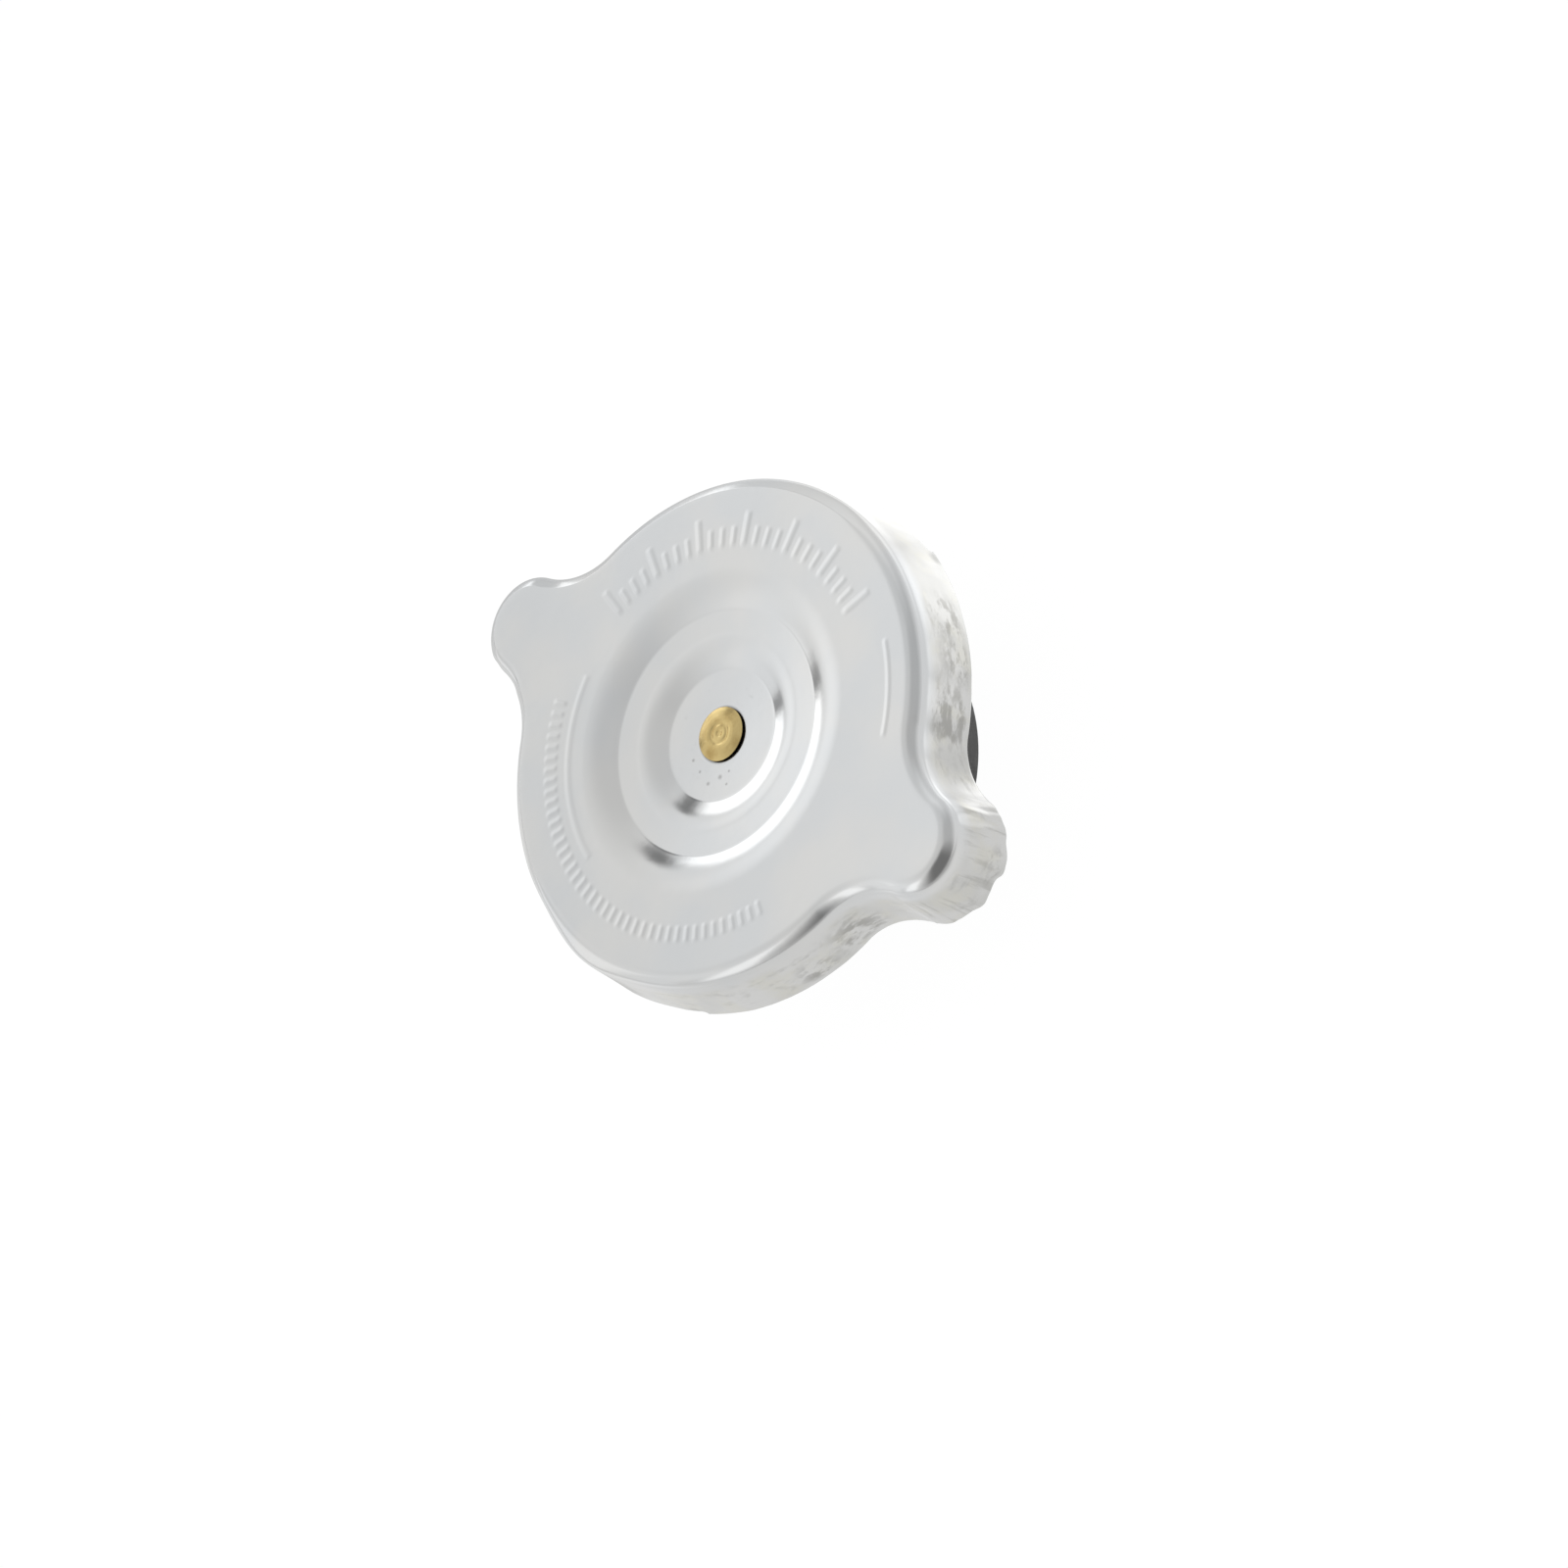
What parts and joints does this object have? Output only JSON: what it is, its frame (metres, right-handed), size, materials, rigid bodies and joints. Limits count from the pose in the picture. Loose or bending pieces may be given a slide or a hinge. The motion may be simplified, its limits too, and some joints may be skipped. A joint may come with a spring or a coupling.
{
  "type": "expansion tank pressure cap",
  "caption": "Pressed steel screw-down pressure cap with finger ears, a sprung pressure valve and a small vacuum valve below.",
  "frame": {"origin": "on the cap's turning axis, at the underside of the pressure valve, which is the lowest face", "axes": "+Z out of the face of the cap, +X towards one finger ear, +Y across the ears"},
  "size_m": [0.0846, 0.0654, 0.0264],
  "materials": {
    "cover_plating": "bright zinc plating on a smooth pressing, between satin and mirror",
    "valve_steel": "plain plated steel, satin",
    "spring_steel": "hard drawn steel, semi-bright",
    "brass": "semi-bright, a little tarnished",
    "black_rubber": "matt moulded rubber"
  },
  "bodies": {
    "cap_cover": {"cap_shell": "cover_plating", "center_rivet": "brass", "neck_gasket": "black_rubber", "spring_disc": "spring_steel", "swivel_washer": "brass"},
    "valve_carrier": {"valve_cage": "valve_steel", "pressure_spring": "spring_steel"},
    "pressure_valve": {"valve_cup": "valve_steel", "backing_plate": "valve_steel", "pressure_seal": "black_rubber", "seal_retainer": "valve_steel", "valve_ferrule": "brass", "stem_guide": "brass", "vacuum_spring": "spring_steel"},
    "vacuum_valve": {"vacuum_disc": "brass", "vacuum_seal": "black_rubber", "vacuum_stem": "brass", "spring_keeper": "brass"}
  },
  "joints": [
    {"name": "valve_swivel", "type": "hinge", "parent": "cap_cover", "child": "valve_carrier", "pos_m": [0, 0, 0.0217], "axis": [0, 0, 1], "continuous": true},
    {"name": "pressure_valve_lift", "type": "slide", "parent": "valve_carrier", "child": "pressure_valve", "axis": [0, 0, 1], "range_m": [0, 0.003], "stiffness_N_per_m": 2000, "springref_m": -0.002, "deforming": ["pressure_spring"]},
    {"name": "vacuum_valve_drop", "type": "slide", "parent": "pressure_valve", "child": "vacuum_valve", "axis": [0, 0, -1], "range_m": [0, 0.001], "stiffness_N_per_m": 60, "springref_m": -0.002, "deforming": ["vacuum_spring"]}
  ]
}
